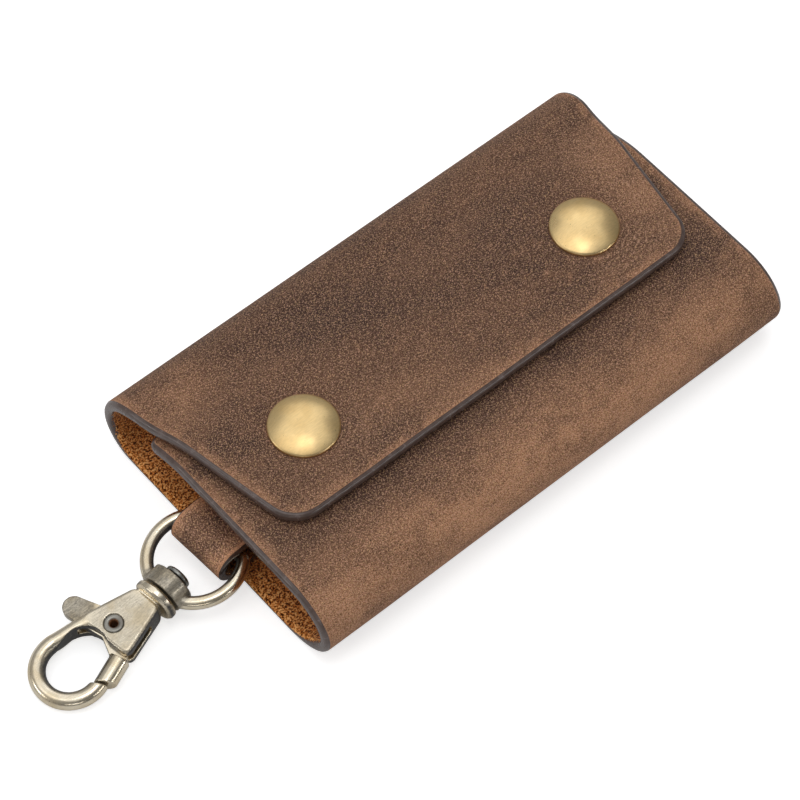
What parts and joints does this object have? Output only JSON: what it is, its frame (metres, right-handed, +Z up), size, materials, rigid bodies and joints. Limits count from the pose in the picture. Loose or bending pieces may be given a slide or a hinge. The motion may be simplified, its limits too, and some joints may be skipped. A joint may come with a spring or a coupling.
{
  "type": "key case",
  "caption": "Folded leather key case with a snapped flap, a rack of key hooks inside and a swivel snap hook on a strap.",
  "frame": {"origin": "middle of the back's underside, which the case lies on", "axes": "X along the case, away from the snap hook; Y from the bottom fold to the top fold; Z up, out of the back"},
  "size_m": [0.1467, 0.061, 0.0206],
  "materials": {
    "leather": "matte oiled, mottled brown",
    "strap_leather": "matte oiled, dark edges",
    "snap_brass": "satin antique brass",
    "snap_works": "satin, dull",
    "antique_metal": "antique plated, dark in the hollows",
    "dark_steel": "dark, worn",
    "rack_steel": "nickel plated"
  },
  "bodies": {
    "case": {"back_panel": "leather", "strap_loop": "strap_leather", "strap_rivet": "snap_brass", "strap_rivet_cap": "snap_brass", "key_plate": "rack_steel", "plate_rivets": "snap_brass", "key_rod": "rack_steel"},
    "flap": {"flap": "leather", "left_snap_cap": "snap_brass", "right_snap_cap": "snap_brass", "left_snap_socket": "snap_works", "right_snap_socket": "snap_works"},
    "front": {"front_panel": "leather", "left_snap_stud": "snap_works", "right_snap_stud": "snap_works", "left_snap_post": "snap_works", "right_snap_post": "snap_works"},
    "key_1": {"key_hook_1": "rack_steel", "key_gate_1": "rack_steel"},
    "key_2": {"key_hook_2": "rack_steel", "key_gate_2": "rack_steel"},
    "key_3": {"key_hook_3": "rack_steel", "key_gate_3": "rack_steel"},
    "key_4": {"key_hook_4": "rack_steel", "key_gate_4": "rack_steel"},
    "key_5": {"key_hook_5": "rack_steel", "key_gate_5": "rack_steel"},
    "key_6": {"key_hook_6": "rack_steel", "key_gate_6": "rack_steel"},
    "loop": {"swivel_loop": "antique_metal"},
    "hook": {"hook_body": "antique_metal", "swivel_rivet": "dark_steel", "trigger_rivet": "dark_steel", "trigger_spring": "dark_steel"},
    "trigger": {"trigger": "antique_metal"}
  },
  "joints": [
    {"name": "flap_fold", "type": "hinge", "parent": "case", "child": "flap", "pos_m": [0, 0.03, 0.0075], "axis": [-1, 0, 0], "range_deg": [0, 165]},
    {"name": "front_fold", "type": "hinge", "parent": "case", "child": "front", "pos_m": [0, -0.031, 0.0081], "axis": [1, 0, 0], "range_deg": [0, 37]},
    {"name": "key_1_swing", "type": "hinge", "parent": "case", "child": "key_1", "pos_m": [-0.024, 0.0112, 0.0051], "axis": [-1, 0, 0], "range_deg": [0, 20]},
    {"name": "key_2_swing", "type": "hinge", "parent": "case", "child": "key_2", "pos_m": [-0.0144, 0.0112, 0.0051], "axis": [-1, 0, 0], "range_deg": [0, 20]},
    {"name": "key_3_swing", "type": "hinge", "parent": "case", "child": "key_3", "pos_m": [-0.0048, 0.0112, 0.0051], "axis": [-1, 0, 0], "range_deg": [0, 20]},
    {"name": "key_4_swing", "type": "hinge", "parent": "case", "child": "key_4", "pos_m": [0.0048, 0.0112, 0.0051], "axis": [-1, 0, 0], "range_deg": [0, 20]},
    {"name": "key_5_swing", "type": "hinge", "parent": "case", "child": "key_5", "pos_m": [0.0144, 0.0112, 0.0051], "axis": [-1, 0, 0], "range_deg": [0, 20]},
    {"name": "key_6_swing", "type": "hinge", "parent": "case", "child": "key_6", "pos_m": [0.024, 0.0112, 0.0051], "axis": [-1, 0, 0], "range_deg": [0, 20]},
    {"name": "loop_swing", "type": "hinge", "parent": "case", "child": "loop", "pos_m": [-0.0531, -0.00136, 0.006], "axis": [-0.1478, 0.989, 0], "range_deg": [-50, 75]},
    {"name": "hook_swivel", "type": "hinge", "parent": "loop", "child": "hook", "pos_m": [-0.0531, -0.00136, 0.006], "axis": [-0.9828, -0.1469, -0.1118], "continuous": true},
    {"name": "trigger_pull", "type": "hinge", "parent": "hook", "child": "trigger", "pos_m": [-0.07633, -0.00321, 0.00338], "axis": [0.1106, 0.0165, -0.9937], "range_deg": [0, 24], "stiffness_Nm_per_rad": 0.05, "springref_deg": -17.19}
  ],
  "couplings": [
    {"joint": "front_fold", "follows": "flap_fold", "ratio": 0.22}
  ]
}
